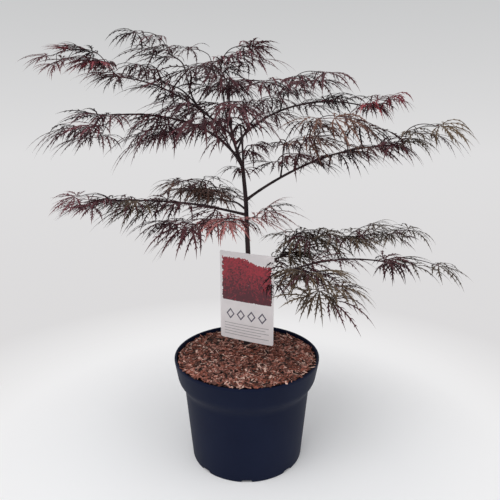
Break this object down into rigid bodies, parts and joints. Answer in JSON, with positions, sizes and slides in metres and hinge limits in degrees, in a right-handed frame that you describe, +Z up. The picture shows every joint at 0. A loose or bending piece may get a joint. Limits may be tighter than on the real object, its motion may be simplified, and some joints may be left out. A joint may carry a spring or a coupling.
{
  "type": "potted laceleaf japanese maple",
  "caption": "Young laceleaf maple in a round nursery pot: thin leaning trunk, arching boughs in open tiers and drooping pads of finely cut purple foliage, with a hanging card label.",
  "frame": {"origin": "centre of the pot's flat underside, on the ground that the pot stands on", "axes": "+Z up, +X to the right and +Y away as seen from the side that the label faces"},
  "size_m": [0.6425, 0.4335, 0.6552],
  "materials": {
    "pot_plastic": "satin moulded plastic, near-black blue",
    "bark_mulch": "loose chipped bark over potting compost, reddish brown",
    "maple_bark": "smooth young bark, dark purple brown",
    "maple_foliage": "thin finely cut leaves, dark purple red",
    "label_card": "thin plastic card, satin print"
  },
  "bodies": {
    "root": {"bough_low_left": "maple_bark", "bough_low_left_back": "maple_bark", "bough_low_left_front": "maple_bark", "bough_low_right": "maple_bark", "bough_low_right_back": "maple_bark", "bough_low_right_front": "maple_bark", "bough_mid_back": "maple_bark", "bough_mid_front": "maple_bark", "bough_mid_left": "maple_bark", "bough_mid_right": "maple_bark", "bough_top_left": "maple_bark", "bough_top_right": "maple_bark", "compost": "bark_mulch", "label_card": "label_card", "label_loop": "label_card", "leader": "maple_bark", "pad_low_front": "maple_foliage", "pad_low_left_back": "maple_foliage", "pad_low_left_front": "maple_foliage", "pad_low_left_tip": "maple_foliage", "pad_low_left_under": "maple_foliage", "pad_low_right_back": "maple_foliage", "pad_low_right_far": "maple_foliage", "pad_low_right_front": "maple_foliage", "pad_low_right_inner": "maple_foliage", "pad_low_right_tip": "maple_foliage", "pad_mid_back": "maple_foliage", "pad_mid_front": "maple_foliage", "pad_mid_inner": "maple_foliage", "pad_mid_left_back": "maple_foliage", "pad_mid_left_front": "maple_foliage", "pad_mid_left_tip": "maple_foliage", "pad_mid_left_under": "maple_foliage", "pad_mid_right_back": "maple_foliage", "pad_mid_right_front": "maple_foliage", "pad_mid_right_outer": "maple_foliage", "pad_mid_right_tip": "maple_foliage", "pad_mid_right_under": "maple_foliage", "pad_top_back": "maple_foliage", "pad_top_crown": "maple_foliage", "pad_top_left_arch": "maple_foliage", "pad_top_left_crest": "maple_foliage", "pad_top_left_front": "maple_foliage", "pad_top_left_tip": "maple_foliage", "pad_top_right_crest": "maple_foliage", "pad_top_right_tip": "maple_foliage", "pad_upper_left": "maple_foliage", "pad_upper_right": "maple_foliage", "pot": "pot_plastic", "side_bough_low_right_far": "maple_bark", "side_bough_mid_left_back": "maple_bark", "side_bough_mid_left_front": "maple_bark", "side_bough_mid_right_back": "maple_bark", "side_bough_mid_right_front": "maple_bark", "side_bough_top_left_arch": "maple_bark", "side_bough_top_left_crest": "maple_bark", "side_bough_top_left_front": "maple_bark", "side_bough_top_right_crest": "maple_bark", "trunk": "maple_bark", "twig_low_right": "maple_bark"}
  },
  "joints": []
}
